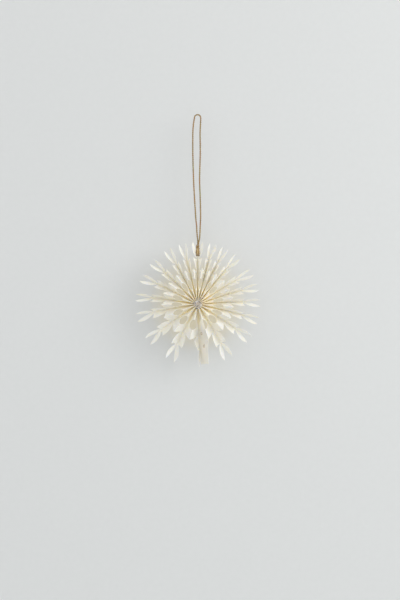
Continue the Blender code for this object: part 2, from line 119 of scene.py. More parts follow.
def set_surface(tree, shader, colour, roughness, *reliefs):
    """Plugs in a colour, a roughness (pattern, range) and reliefs (pattern, strength, depth)."""
    pattern, smoothest, roughest = roughness
    rough = add_node(
        tree, "ShaderNodeMapRange", values={"To Min": smoothest, "To Max": roughest},
        links={"Value": pattern},
    )
    plugs, below = {"Base Color": colour, "Roughness": rough}, {}
    for pattern, strength, depth in reliefs:
        bump = add_node(
            tree, "ShaderNodeBump", values={"Strength": strength, "Distance": depth},
            links={"Height": pattern, **below},
        )
        below = {"Normal": bump}
    for name, source in {**plugs, **below}.items():
        tree.links.new(output_of(source), shader.inputs[name])


def new_material(name):
    """An empty material, its nodes, its Principled shader, and the output that gives a point's place."""
    material = bpy.data.materials.new(name)
    material.use_nodes = True
    tree = material.node_tree
    on_part = add_node(tree, "ShaderNodeTexCoord").outputs["Object"]
    return material, tree, tree.nodes["Principled BSDF"], on_part


# The colour inputs of a Mix node go by number, as its plain ones have the same names
MIX_A, MIX_B = 6, 7
RGBA, SMOOTH = {"data_type": "RGBA"}, {"interpolation_type": "SMOOTHSTEP"}
print("paper white, F6F3EA, is", [round(c, 3) for c in linear("F6F3EA")[:3]], "in linear light")

# %% [markdown]
# ## Lines and strands
#
# Twine and wire follow smooth lines. A line is given by a few places that it passes, and the curve between
# them is a chain of Bezier pieces that share their tangents. A strand is a mesh tube swept along such a line.
# A curve object with a bevel would be shorter, but a mesh lets each strand carry its own map of how far along
# and how far round each point is, which the fibres of the material follow.


# %% Smooth lines and swept strands
STRAND_MAP, FRAYED = "along_and_round", "frayed"
ROUND_SIDES, END_TAPER = 10, 0.75


def through(places, steps):
    """A smooth line through these places, with this many steps from each to the next."""
    places = [Vector(place) for place in places]
    ends = [2 * places[0] - places[1], *places, 2 * places[-1] - places[-2]]
    line = [places[0]]
    for before, start, end, after in zip(ends, ends[1:], ends[2:], ends[3:]):
        pull_out, pull_in = start + (end - before) / 6, end - (after - start) / 6
        for step in range(1, steps + 1):
            t = step / steps
            near, far = (1 - t) ** 2, t ** 2
            leaving = near * (1 - t) * start + 3 * near * t * pull_out
            line.append(leaving + 3 * far * (1 - t) * pull_in + far * t * end)
    return line


def line_length(line):
    return sum((b - a).length for a, b in zip(line, line[1:]))


def line_frames(line):
    """At each point of a line: its place, the way along it, two ways across it, and how far along it is."""
    side = Vector((1, 0, 0)) if abs((line[1] - line[0]).normalized().x) < 0.8 else Vector((0, 0, 1))
    gone, frames = 0.0, []
    for i, place in enumerate(line):
        along = (line[min(i + 1, len(line) - 1)] - line[max(i - 1, 0)]).normalized()
        side = (side - along * side.dot(along)).normalized()
        gone += (place - line[max(i - 1, 0)]).length
        frames.append((place, along, side, along.cross(side), gone))
    return frames


def sweep(mesh, line, radius, sides, frayed=0.0):
    """Adds a closed tube along a line to a mesh, with its map of metres along and share round."""
    maps, marks = mesh.loops.layers.uv, mesh.faces.layers.float
    map_layer = maps.get(STRAND_MAP) or maps.new(STRAND_MAP)
    frayed_layer = marks.get(FRAYED) or marks.new(FRAYED)
    rings = []
    for i, (place, _, side, other, gone) in enumerate(line_frames(line)):
        reach = radius * (END_TAPER if i in (0, len(line) - 1) else 1.0)
        turns = [tau * corner / sides for corner in range(sides)]
        ring = [mesh.verts.new(place + reach * (cos(turn) * side + sin(turn) * other)) for turn in turns]
        rings.append((ring, gone))
    for (ring, gone), (next_ring, next_gone) in zip(rings, rings[1:]):
        for corner in range(sides):
            after = (corner + 1) % sides
            face = mesh.faces.new((ring[corner], ring[after], next_ring[after], next_ring[corner]))
            face.smooth = True
            face[frayed_layer] = frayed
            here, there = corner / sides, (corner + 1) / sides
            places = [(gone, here), (gone, there), (next_gone, there), (next_gone, here)]
            for loop, place in zip(face.loops, places):
                loop[map_layer].uv = place
    mesh.faces.new(rings[0][0][::-1])
    mesh.faces.new(rings[-1][0])


def add_piece(mesh, name, material, slot, *nodes):
    """Makes a mesh into a piece that stands for its solid and rides on the part's one body."""
    data = bpy.data.meshes.new(name)
    mesh.to_mesh(data)
    mesh.free()
    data.materials.append(material)
    piece = put(name, data)
    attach(piece, "root")
    if nodes:
        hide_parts(*nodes)
    print(f"{name}: {len(data.polygons)} faces")
    return piece


quarter = through([(1, 0, 0), (0.71, 0.71, 0), (0, 1, 0)], 8)
print(f"a quarter turn of radius 1 through 3 places is {line_length(quarter):.2f} long")

# %% [markdown]
# ## Jute twine, the material
#
# Jute is a bast fibre: stiff, golden brown and a little shiny along its length. Spun into a yarn it shows
# fine lines along the ply, pale and dark by turns. The lines are a noise pattern that is stretched along the
# strand's own map, so they run with the spin and never across it. Real fibres are about 0.05 mm thick, too
# fine to show here, so they are drawn as bundles of about 0.2 mm. A cut end frays open and is paler: an
# attribute of the strand's faces says where that is.

# %% Material: jute twine
TWINE_DIAMETER = 1.8 * MM
PLY_RADIUS = 0.3 * TWINE_DIAMETER
FIBRE_BUNDLE, FIBRE_LENGTH, TONE_PATCH = 0.2 * MM, 4 * MM, 9 * MM

jute, tree, shader, on_part = new_material("spun_jute_twine")
strand_map = add_node(tree, "ShaderNodeUVMap", {"uv_map": STRAND_MAP})
bundles_round = tau * PLY_RADIUS / FIBRE_BUNDLE
along_fibres = add_node(
    tree, "ShaderNodeMapping", values={"Scale": (1 / FIBRE_LENGTH, bundles_round, 1)},
    links={"Vector": strand_map},
)
fibres = add_node(
    tree, "ShaderNodeTexNoise", values={"Scale": 1.0, "Detail": 3.0, "Roughness": 0.6, "Distortion": 0.3},
    links={"Vector": along_fibres},
)
patches = add_node(
    tree, "ShaderNodeTexNoise", values={"Scale": 1 / TONE_PATCH, "Detail": 2.0},
    links={"Vector": on_part},
)
spread = add_node(
    tree, "ShaderNodeMapRange", values={"From Min": 0.32, "From Max": 0.68},
    links={"Value": fibres},
)
fibre_colour = add_node(
    tree, "ShaderNodeMix", RGBA, {MIX_A: linear("6E502D"), MIX_B: linear("C6A974")},
    {"Factor": spread},
)
frayed = add_node(tree, "ShaderNodeAttribute", {"attribute_name": FRAYED})
fray_share = add_node(
    tree, "ShaderNodeMapRange", values={"To Max": 0.55}, links={"Value": frayed.outputs["Fac"]},
)
paler_colour = add_node(
    tree, "ShaderNodeMix", RGBA, {MIX_B: linear("E3CC9C")},
    {"Factor": fray_share, MIX_A: fibre_colour},
)
patch_colour = add_node(
    tree, "ShaderNodeMix", {**RGBA, "blend_type": "OVERLAY"}, {"Factor": 0.35},
    {MIX_A: paler_colour, MIX_B: patches.outputs["Color"]},
)
set_surface(tree, shader, patch_colour, (fibres, 0.62, 0.9), (fibres, 0.8, 0.1 * MM))
shader.inputs["Sheen Weight"].default_value = 0.25
shader.inputs["Sheen Tint"].default_value = linear("E8D5AC")
print(f"{bundles_round:.0f} fibre bundles round a ply")

# %% [markdown]
# ## The twine loop
#
# Two plies are laid round each other: that is what makes twine of yarn. Each ply is a tube on a helix round
# the loop's centre line, pressed a little into its neighbour as real plies are. The line goes up the left
# side, over the top and down the right, as the solid's does, so both have the same length of twine.

# %% The loop of twine
LOOP_ROUTE = [
    (0.00005, 0.00085, -0.1552), (0.0002, 0.00075, -0.1516), (0.0, 0.0005, -0.1482),
    (-0.0005, 0.00025, -0.1446), (-0.0009, 0.0001, -0.1398), (-0.0013, 0, -0.1320), (-0.0022, 0, -0.1240),
    (-0.0034, 0, -0.1050), (-0.0045, 0, -0.0860), (-0.0053, 0, -0.0660), (-0.0058, 0, -0.0440),
    (-0.0058, 0, -0.0220), (-0.0053, 0, -0.0130), (-0.0047, 0, -0.0080), (-0.0042, 0, -0.0050),
    (-0.00387, 0, -0.0029), (-0.00338, 0, -0.0010), (-0.0020, 0, 0.0004), (-0.0001, 0, 0.0009),
    (0.0018, 0, 0.0004), (0.00319, 0, -0.0010), (0.0037, 0, -0.0029), (0.0037, 0, -0.0050),
    (0.0035, 0, -0.0080), (0.0032, 0, -0.0130), (0.0029, 0, -0.0220), (0.0031, 0, -0.0440),
    (0.0026, 0, -0.0640), (0.0023, 0, -0.0780), (0.0030, 0, -0.0980), (0.0035, 0, -0.1200),
    (0.0031, 0, -0.1320), (0.0028, -0.0001, -0.1398), (0.0025, -0.00025, -0.1452),
    (0.0019, -0.0006, -0.1494), (0.0012, -0.0008, -0.1522), (0.00095, -0.00085, -0.1552),
]
TWINE_LAY, TWINE_STEP = 5 * MM, 0.45 * MM
PLY_REACH = TWINE_DIAMETER / 2 - PLY_RADIUS
PLY_LOOSENESS, LOOSE_OVER = 0.12, 6 * MM


def evenly(line, spacing):
    """The same line with its points evenly apart."""
    gone, marks = 0.0, [0.0]
    for a, b in zip(line, line[1:]):
        gone += (b - a).length
        marks.append(gone)
    count = max(2, round(gone / spacing))
    points, i = [], 0
    for step in range(count + 1):
        want = gone * step / count
        while i < len(marks) - 2 and marks[i + 1] < want:
            i += 1
        points.append(line[i].lerp(line[i + 1], (want - marks[i]) / max(marks[i + 1] - marks[i], 1e-9)))
    return points


def lay_twine(mesh, line, phase=0.0, frayed=0.0):
    """Adds two plies, laid round each other along a line."""
    frames = line_frames(evenly(line, TWINE_STEP))
    for ply in (0, 1):
        strand = []
        for place, _, side, other, gone in frames:
            turn = tau * gone / TWINE_LAY + pi * ply + phase
            loose = 1 + PLY_LOOSENESS * noise.noise(Vector((gone / LOOSE_OVER, ply * 7.0, phase)))
            strand.append(place + PLY_REACH * loose * (cos(turn) * side + sin(turn) * other))
        sweep(mesh, strand, PLY_RADIUS, ROUND_SIDES, frayed)


loop_line = through(LOOP_ROUTE, 6)
mesh = bmesh.new()
lay_twine(mesh, loop_line)
twine_loop = add_piece(mesh, "twine_loop", jute, "twine", "hanging_cord")

# %% [markdown]
# ## The folds of the snowflake
#
# Seen from the front, each back fold is the stem of a V-shaped ray, and a front fold stands half way to the
# next stem. The pleats crowd at the top, where the twine holds them, and open out below. The sheet could be
# simulated as cloth, but folded paper barely stretches, so its shape is better worked out: a flat panel
# keeps its widths, and only the angle at which it opens changes from fold to fold.

# %% Where the folds are
STEM_ANGLES = [90, 103.5, 117.4, 134.7, 151.9, 170.4, 188.8, 213.5, 241.9, 273,
               301.6, 329, 348.2, 364.8, 379.2, 393.4, 412.4, 425.3, 436.3]
HUNG_RAY, CLOSING_RAY = 0, 9
PAPER_THICKNESS = 0.3 * MM
PLEAT_DEPTH = 18 * MM
INNER_RADIUS, SNOWFLAKE_RADIUS = 4 * MM, 75 * MM
INNER_LEAF_TIP = 43 * MM
SLOPE_OVER = INNER_LEAF_TIP / 40
SPRING_OPEN, LEAF_SAG, RAY_DROOP, EYE_SPREAD = radians(18), radians(7), radians(3), radians(40)
SEAM_LEAVES_SHUT, SEAM_STRIP_SHUT, SEAM_SHUT_OVER = radians(26), radians(7), 13 * MM
TWINE_HOLE_OUT, TWINE_CLEARANCE, TWINE_HOLE_MARGIN = 58.6 * MM, 0.5 * MM, 0.3 * MM
EYE_HEIGHT = -168 * MM
CENTRE = Vector((0, -9.5 * MM, EYE_HEIGHT - TWINE_HOLE_OUT))
TOWARDS_FRONT = Vector((0, -1, 0))
SIDES = LEFT_SIDE, RIGHT_SIDE = 1, -1
RAYS = len(STEM_ANGLES)
STEMS = [radians(angle) for angle in STEM_ANGLES]


def smooth_step(share):
    share = min(max(share, 0), 1)
    return share * share * (3 - 2 * share)


def gap_after(ray):
    following = STEMS[ray + 1] if ray + 1 < RAYS else STEMS[0] + tau
    return following - STEMS[ray]


def front_fold(ray, side):
    """The number of the front fold on this side of a ray, which is that of the ray before the fold."""
    return ray if side == LEFT_SIDE else (ray - 1) % RAYS


def half_gap(ray, side):
    return gap_after(front_fold(ray, side)) / 2


def drooped(angle, radius):
    """A ray's direction at this radius: a ray that reaches sideways hangs a little."""
    return angle - RAY_DROOP * cos(angle) * (radius / SNOWFLAKE_RADIUS) ** 2


def half_depth(half_angle, radius):
    """Half of the pleats' depth, which grows shallower as they open."""
    def held(out):
        return sqrt(PLEAT_DEPTH ** 2 - (2 * out * sin(half_angle / 2)) ** 2) / 2

    if radius <= INNER_LEAF_TIP:
        return held(radius)
    slope = (held(INNER_LEAF_TIP) - held(INNER_LEAF_TIP - SLOPE_OVER)) / SLOPE_OVER
    return held(INNER_LEAF_TIP) + slope * (radius - INNER_LEAF_TIP)


def at(angle, radius, depth):
    return CENTRE + Vector((radius * cos(angle), depth, radius * sin(angle)))


def stem_point(ray, radius):
    depth = sum(half_depth(half_gap(ray, side), radius) for side in SIDES) / 2
    return at(drooped(STEMS[ray], radius), radius, depth)


def front_point(ray, radius):
    half_angle = gap_after(ray) / 2
    return at(drooped(STEMS[ray] + half_angle, radius), radius, -half_depth(half_angle, radius))


def sideways(angle):
    return Vector((-sin(angle), 0, cos(angle)))


gaps = [degrees(gap_after(ray)) for ray in range(RAYS)]
print(f"{RAYS} rays, {2 * RAYS} panels, gaps of {min(gaps):.0f} to {max(gaps):.0f} degrees")

# %% [markdown]
# ## How a leaf opens and curls
#
# Past the inner leaves nothing joins one ray to the next, so the leaves spring open like the pages of a book
# and hang a little. No two do it quite alike: each opens a few degrees more or less and has a slight curl
# across it, from the damp that the paper has taken up. These small differences are what tells
# real paper from a pattern, and they come from a seeded list, so that they are the same each time.

# %% Opening and curl of the leaves
vary = Random(11)
PANELS = [(ray, side) for ray in range(RAYS) for side in SIDES]
OPENS_MORE = {panel: radians(vary.uniform(-2.5, 2.5)) for panel in PANELS}
LEAF_CURL = {panel: vary.uniform(-0.3, 0.7) * MM for panel in PANELS}
PANEL_BOW = {panel: vary.uniform(-0.12, 0.2) * MM for panel in PANELS}
BOW_FROM, BOW_GROWS_OVER = 9 * MM, 12 * MM
CURL_GROWS_OVER, CURL_ACROSS = 14 * MM, 10 * MM


def opening(ray, side, radius):
    """The angle between a free leaf and the view from the front."""
    angle = asin(2 * INNER_LEAF_TIP * sin(half_gap(ray, side) / 2) / PLEAT_DEPTH)
    if ray == CLOSING_RAY:
        shut = SEAM_STRIP_SHUT if side == LEFT_SIDE else SEAM_LEAVES_SHUT
        return angle - shut * smooth_step((radius - INNER_LEAF_TIP) / SEAM_SHUT_OVER)
    free = smooth_step((radius - INNER_LEAF_TIP) / (SNOWFLAKE_RADIUS - INNER_LEAF_TIP))
    if ray == HUNG_RAY:
        return angle + free * EYE_SPREAD
    return angle + free * (SPRING_OPEN + OPENS_MORE[ray, side] - side * cos(STEMS[ray]) * LEAF_SAG)


def across_panel(ray, side, radius):
    """The direction across a panel, from its stem towards its front fold."""
    stem = stem_point(ray, radius)
    if radius <= INNER_LEAF_TIP:
        return (front_point(front_fold(ray, side), radius) - stem) / PLEAT_DEPTH
    angle = opening(ray, side, radius)
    middle = drooped(STEMS[ray], radius) + side * half_gap(ray, side) / 2
    return side * sin(angle) * sideways(middle) + cos(angle) * TOWARDS_FRONT


def curl(ray, side, out, across):
    """How far a point stands off its flat panel: nothing at the folds, most at the leaves' free edges."""
    if ray == HUNG_RAY:
        return 0.0
    bow = PANEL_BOW[ray, side] * sin(pi * min(across / PLEAT_DEPTH, 1))
    bow *= smooth_step((out - BOW_FROM) / BOW_GROWS_OVER)
    free = smooth_step((out - INNER_LEAF_TIP) / CURL_GROWS_OVER) * (across / CURL_ACROSS) ** 2
    return bow + LEAF_CURL[ray, side] * free


def panel_point(ray, side, out, across, off=0.0):
    """The place of a point of a flat panel once it is folded, this far off its middle surface."""
    direction = across_panel(ray, side, out)
    angle = drooped(STEMS[ray], out)
    inside = side * Vector((cos(angle), 0, sin(angle))).cross(direction).normalized()
    return stem_point(ray, out) + across * direction + (off + curl(ray, side, out, across)) * inside


print("a leaf opens up to", round(degrees(max(OPENS_MORE.values())), 1), "degrees more than its neighbours")

# %% [markdown]
# ## The cut panels
#
# All panels were cut at once, so one flat outline serves for nearly all of them: a half-round window
# near the core, and three leaves with notches between. The last panel of the strip was left plain, to close
# the ring, and keeps two punched holes. The outline is flat geometry: places along the panel are distances
# from the centre, and places across it are distances from its stem.

# %% The outline of a panel
WINDOW_START, WINDOW_END, WINDOW_DEPTH = 18.6 * MM, 31 * MM, 10.6 * MM
INNER_NOTCH, INNER_NOTCH_RIB = 36.8 * MM, 2.6 * MM
MIDDLE_LEAF_TIP, MIDDLE_LEAF_TIP_ACROSS, MIDDLE_LEAF_BULGE = 56.5 * MM, 9.8 * MM, 12 * MM
OUTER_NOTCH, OUTER_NOTCH_RIB, STEM_END = 54.6 * MM, 2.2 * MM, 56 * MM
OUTER_LEAF_TIP_ACROSS, OUTER_LEAF_BULGE = 6.5 * MM, 10.2 * MM
CLOSING_PANEL_LENGTH = 72 * MM
BACK, FRONT, CUT, INSIDE = "back fold", "front fold", "cut", "inside"
NET = 1.5 * MM


def stations(start, end):
    count = max(2, round((end - start) / NET))
    return [start + (end - start) * step / count for step in range(count + 1)]


BACK_STATIONS = stations(INNER_RADIUS, STEM_END)
FRONT_STATIONS = [stations(INNER_RADIUS, WINDOW_START), stations(WINDOW_END, INNER_LEAF_TIP)]


def bezier(points, steps):
    """Points after the first one along the Bezier curve that these control points give."""
    found = []
    for step in range(1, steps + 1):
        level = [Vector(point) for point in points]
        while len(level) > 1:
            level = [a.lerp(b, step / steps) for a, b in zip(level, level[1:])]
        found.append(level[0])
    return found


def kinds(places, kind):
    return [(out, across, kind) for out, across in places]


def front_edge(outs):
    return [(out, PLEAT_DEPTH, FRONT) for out in reversed(outs)]


def whole_outline(end, window):
    """A panel's loop: up its stem, round its end, and in along its front fold, past the window."""
    loop = kinds([(out, 0.0) for out in BACK_STATIONS], BACK) + kinds(end, CUT)
    return loop + front_edge(FRONT_STATIONS[1]) + kinds(window, CUT) + front_edge(FRONT_STATIONS[0])


def outer_leaf_inside(out):
    share = (out - STEM_END) / (SNOWFLAKE_RADIUS - STEM_END)
    return OUTER_LEAF_TIP_ACROSS * share * (0.7 + 0.3 * share)


def leafy_outline():
    """A cut panel, with its three leaves and its window."""
    outer_tip, outer_notch = (SNOWFLAKE_RADIUS, OUTER_LEAF_TIP_ACROSS), (OUTER_NOTCH, OUTER_NOTCH_RIB)
    middle_tip, inner_notch = (MIDDLE_LEAF_TIP, MIDDLE_LEAF_TIP_ACROSS), (INNER_NOTCH, INNER_NOTCH_RIB)
    outer_length, middle_length = SNOWFLAKE_RADIUS - OUTER_NOTCH, MIDDLE_LEAF_TIP - INNER_NOTCH
    outer_inside = [(out, outer_leaf_inside(out)) for out in stations(STEM_END, SNOWFLAKE_RADIUS)[1:]]
    outer_outside = [
        outer_tip, (OUTER_NOTCH + 0.78 * outer_length, OUTER_LEAF_BULGE),
        (OUTER_NOTCH + 0.27 * outer_length, 0.94 * OUTER_LEAF_BULGE), outer_notch,
    ]
    half_way_across = (OUTER_NOTCH_RIB + MIDDLE_LEAF_TIP_ACROSS) / 2
    middle_inside = [outer_notch, (OUTER_NOTCH - OUTER_NOTCH_RIB / 2, half_way_across), middle_tip]
    middle_outside = [
        middle_tip, (INNER_NOTCH + 0.75 * middle_length, MIDDLE_LEAF_BULGE),
        (INNER_NOTCH + 0.26 * middle_length, 0.9 * MIDDLE_LEAF_BULGE), inner_notch,
    ]
    inner_outside = [
        inner_notch, ((INNER_NOTCH + INNER_LEAF_TIP) / 2, PLEAT_DEPTH * 0.42), (INNER_LEAF_TIP, PLEAT_DEPTH),
    ]
    leaves = outer_inside + bezier(outer_outside, 16) + bezier(middle_inside, 7)
    leaves += bezier(middle_outside, 16) + bezier(inner_outside, 11)[:-1]
    middle, reach = (WINDOW_END + WINDOW_START) / 2, (WINDOW_END - WINDOW_START) / 2
    turns = [pi * step / 22 for step in range(1, 22)]
    window = [(middle + reach * cos(turn), PLEAT_DEPTH - WINDOW_DEPTH * sin(turn)) for turn in turns]
    return whole_outline(leaves, window)


def plain_outline():
    """The closing panel: a plain strip that ends a little short of the leaves."""
    end = [(out, 0.0) for out in stations(STEM_END, CLOSING_PANEL_LENGTH)[1:]]
    end += [(CLOSING_PANEL_LENGTH, across) for across in stations(0, PLEAT_DEPTH)[1:]]
    end += [(out, PLEAT_DEPTH) for out in reversed(stations(INNER_LEAF_TIP, CLOSING_PANEL_LENGTH)[1:-1])]
    beside_window = [(out, PLEAT_DEPTH) for out in reversed(stations(WINDOW_START, WINDOW_END)[1:-1])]
    return whole_outline(end, beside_window)


print("points on the cut outline:", len(leafy_outline()), "and on the plain one:", len(plain_outline()))

# %% [markdown]
# Each panel has a round hole for the wire, the closing panel two punched ones, and the top ray's panels one
# for the twine. Between its outline and its holes a panel is filled with a fine net of triangles, so that the
# leaves can bend: one function joins any points with triangles that keep the given edges.

# %% The holes, and the net of triangles
WIRE_DIAMETER, WIRE_HOLE_DIAMETER = 0.6 * MM, 1.4 * MM
WIRE_RADIUS_OUT, WIRE_ACROSS = INNER_RADIUS + 1.3 * MM, 10 * MM
PUNCH_DIAMETER, PUNCH_PLACES = 2.2 * MM, [(35.4 * MM, 5.8 * MM), (50.7 * MM, 9.6 * MM)]
CLEAR_OF_EDGE = 0.6 * NET
TRIANGLES_INSIDE, MERGE_WITHIN = 1, 1e-7


def round_hole(out, across, diameter, corners=16):
    """The corners of a hole whose straight sides touch its circle from outside."""
    radius = diameter / 2 / cos(pi / corners)
    turns = [tau * (corner + 0.5) / corners for corner in range(corners)]
    return kinds([(out + radius * cos(turn), across + radius * sin(turn)) for turn in turns], CUT)


def twine_hole():
    radius = TWINE_DIAMETER / 2 + TWINE_CLEARANCE
    across = outer_leaf_inside(TWINE_HOLE_OUT + radius) + radius + TWINE_HOLE_MARGIN
    return TWINE_HOLE_OUT, across, 2 * radius


def inside_of(place, loop):
    """True if a flat place is inside a closed loop of places."""
    inside = False
    for (x1, y1, _), (x2, y2, _) in zip(loop, loop[1:] + loop[:1]):
        if (y1 > place[1]) != (y2 > place[1]) and place[0] < (x2 - x1) * (place[1] - y1) / (y2 - y1) + x1:
            inside = not inside
    return inside


def edge_distance(place, loops):
    return min((Vector(place) - Vector(corner[:2])).length for loop in loops for corner in loop)


def flat_panel(outline, holes):
    """The corners of a flat panel, the loops they form and the triangles between them."""
    loops = [outline, *holes]
    columns, rows = int(SNOWFLAKE_RADIUS / NET), int(PLEAT_DEPTH / NET) + 1
    net = [
        (INNER_RADIUS + (column + 0.5 * (row % 2)) * NET, row * NET)
        for column in range(columns) for row in range(rows)
    ]
    net = [place for place in net if inside_of(place, outline)]
    net = [place for place in net if not any(inside_of(place, hole) for hole in holes)]
    net = [place for place in net if edge_distance(place, loops) > CLEAR_OF_EDGE]
    corners, numbers = [], []
    for loop in loops:
        numbers.append(range(len(corners), len(corners) + len(loop)))
        corners += loop
    edges = [(loop[i - 1], loop[i]) for loop in numbers for i in range(len(loop))]
    corners = corners + kinds(net, INSIDE)
    places = [Vector(corner[:2]) / PLEAT_DEPTH for corner in corners]
    _, _, faces, origins, _, _ = delaunay_2d_cdt(places, edges, [], TRIANGLES_INSIDE, MERGE_WITHIN)
    triangles = [[origins[corner][0] for corner in face] for face in faces]
    hole_loops = [set(loop) for loop in numbers[1:]]
    triangles = [face for face in triangles if not any(loop.issuperset(face) for loop in hole_loops)]
    return corners, numbers, triangles


wire_hole = round_hole(WIRE_RADIUS_OUT, WIRE_ACROSS, WIRE_HOLE_DIAMETER)
leafy_panel = flat_panel(leafy_outline(), [wire_hole])
hung_panel = flat_panel(leafy_outline(), [wire_hole, round_hole(*twine_hole())])
punched_holes = [round_hole(*place, PUNCH_DIAMETER) for place in PUNCH_PLACES]
plain_panel = flat_panel(plain_outline(), [wire_hole, *punched_holes])
print("a cut panel has", len(leafy_panel[2]), "triangles on each face")

# %% [markdown]
# ## Cotton paper, the material
#
# Cotton rag paper is soft, matt and warm white. Held to the light it is cloudy, in patches of about 3 mm, and
# the core of a pleated star looks golden, because light there goes from fold to fold many times and each
# time loses a little more blue than red. The real sheet is one tone, but the core's paper is painted nearly
# white and the leaves beyond the windows a little greyer: painted light that lifts the shade of the deep
# folds, while the bounces make the gold. The last panel is two thicknesses glued together, which let less
# light through, and it is painted greyer still: painted shade for that dimmer light. An attribute of its
# faces says where it is.

# %% Material: cotton paper, its tones
CLOUD, FELT, FLECK = 3 * MM, 0.4 * MM, 1.1 * MM
LAP_SHADE_ATTRIBUTE = "lap_painted_shade"

cotton_paper, tree, shader, on_part = new_material("cotton_rag_paper")
clouds = add_node(
    tree, "ShaderNodeTexNoise", values={"Scale": 1 / CLOUD, "Detail": 3.0, "Roughness": 0.55},
    links={"Vector": on_part},
)
flat_place = add_node(tree, "ShaderNodeVectorMath", {"operation": "MULTIPLY"}, {1: (1, 0, 1)}, {0: on_part})
from_axis = add_node(
    tree, "ShaderNodeVectorMath", {"operation": "DISTANCE"}, {1: (0, 0, CENTRE.z)},
    {0: flat_place},
)
# Painted light: the paper is painted lighter and warmer towards the core, which lifts the shade of its deep
# folds
core_painted_light_mask = add_node(
    tree, "ShaderNodeMapRange", SMOOTH,
    {"From Min": WINDOW_START, "From Max": INNER_NOTCH, "To Min": 1.0, "To Max": 0.0},
    {"Value": from_axis},
)
cloudy_leaf = add_node(
    tree, "ShaderNodeMix", RGBA, {MIX_A: linear("F0ECE1"), MIX_B: linear("F6F3EA")},
    {"Factor": clouds},
)
cloudy_core_painted_light = add_node(
    tree, "ShaderNodeMix", RGBA, {MIX_A: linear("FEF8E6"), MIX_B: linear("FFFBEF")},
    {"Factor": clouds},
)
# Painted shade: the last panel's faces are painted greyer, for the dimmer light through its two glued
# thicknesses
lap_shade = add_node(tree, "ShaderNodeAttribute", {"attribute_name": LAP_SHADE_ATTRIBUTE})
leaf_with_lap_shade = add_node(
    tree, "ShaderNodeMix", RGBA, {MIX_B: linear("E2DFD8")},
    {"Factor": lap_shade.outputs["Fac"], MIX_A: cloudy_leaf},
)
# Here the core's painted light and the last panel's painted shade join the cloudy tone
cloudy_with_painted_light_and_shade = add_node(
    tree, "ShaderNodeMix", RGBA, links={
        "Factor": core_painted_light_mask, MIX_A: leaf_with_lap_shade,
        MIX_B: cloudy_core_painted_light,
    },
)
print("paper clouds", CLOUD * 1000, "mm")

# %% [markdown]
# Small things tell that the paper is old and was made by hand. It has tan flecks of plant, about 1 mm apart.
# Brown is painted round the rims of the two punched holes and along a thin line beside the closing stem:
# painted shade, for the dark seen into the holes and into the gap beside the stem. Each mark is worked out
# from the distance to its place: a painted picture would do it too, but distances need no image. For the
# long thin mark the place is first squeezed along it.

# %% Material: cotton paper, its flecks and painted shade
PUNCH_SHADE_REACH, PUNCH_SHADE_SHARE, SHADE_LINE_SHARE = 1.5 * MM, 0.6, 0.5
SHADE_LINE_WIDTH, SHADE_LINE_LENGTH = 1.6 * MM, 15 * MM
SHADE_LINE_MIDDLE = CENTRE + Vector((2.8 * MM, 0, -15 * MM))

flecks = add_node(
    tree, "ShaderNodeTexVoronoi", {"feature": "F1"}, {"Scale": 1 / FLECK, "Randomness": 1.0},
    {"Vector": on_part},
)
fleck_mask = add_node(
    tree, "ShaderNodeMapRange", values={"From Min": 0.0, "From Max": 0.14, "To Min": 0.22, "To Max": 0.0},
    links={"Value": flecks},
)
flecked = add_node(
    tree, "ShaderNodeMix", RGBA, {MIX_B: linear("D9C9A4")},
    {"Factor": fleck_mask, MIX_A: cloudy_with_painted_light_and_shade},
)
from_punch = [
    add_node(
        tree, "ShaderNodeVectorMath", {"operation": "DISTANCE"},
        {1: panel_point(CLOSING_RAY, LEFT_SIDE, *place)}, {0: on_part},
    )
    for place in PUNCH_PLACES
]
nearer = add_node(
    tree, "ShaderNodeMath", {"operation": "MINIMUM"},
    links={number: distance for number, distance in enumerate(from_punch)},
)
rim = PUNCH_DIAMETER / 2
# Painted shade: a brown rim round each punched hole, for the dark seen into it
punch_shade_mask = add_node(
    tree, "ShaderNodeMapRange", SMOOTH,
    {"From Min": rim, "From Max": rim + PUNCH_SHADE_REACH, "To Min": PUNCH_SHADE_SHARE, "To Max": 0.0},
    {"Value": nearer},
)
# Painted shade: a thin brown line beside the closing stem, for the shade of the gap there
squeezed = add_node(
    tree, "ShaderNodeVectorMath", {"operation": "MULTIPLY"}, {1: (1, 0, SHADE_LINE_WIDTH / SHADE_LINE_LENGTH)},
    {0: on_part},
)
from_shade_line = add_node(
    tree, "ShaderNodeVectorMath", {"operation": "DISTANCE"},
    {1: (SHADE_LINE_MIDDLE.x, 0, SHADE_LINE_MIDDLE.z * SHADE_LINE_WIDTH / SHADE_LINE_LENGTH)}, {0: squeezed},
)
shade_line_mask = add_node(
    tree, "ShaderNodeMapRange", SMOOTH,
    {"From Min": SHADE_LINE_WIDTH / 4, "From Max": SHADE_LINE_WIDTH / 2, "To Min": SHADE_LINE_SHARE, "To Max": 0.0},
    {"Value": from_shade_line},
)
# Both marks of painted shade, the holes' rims and the line by the stem, are painted brown here
hole_and_gap_shade_mask = add_node(tree, "ShaderNodeMath", {"operation": "MAXIMUM"}, links={0: punch_shade_mask, 1: shade_line_mask})
with_hole_and_gap_shade = add_node(
    tree, "ShaderNodeMix", RGBA, {MIX_B: linear("84644A")},
    {"Factor": hole_and_gap_shade_mask, MIX_A: flecked},
)
print("painted_shade_marks:", len(from_punch), "punched holes and one line of painted_gap_shade", SHADE_LINE_LENGTH * 1000, "mm long")

# %% [markdown]
# The surface is a felt of fibres. Real ones are about 0.1 mm apart, too fine to show, so they are drawn at
# 0.4 mm. The clouds stand out by up to 0.2 mm, as paper does that has been damp. The sheet is modelled with
# its real thickness, so subsurface light passes through it as it does through paper, and the deep folds are
# lit from both sides.

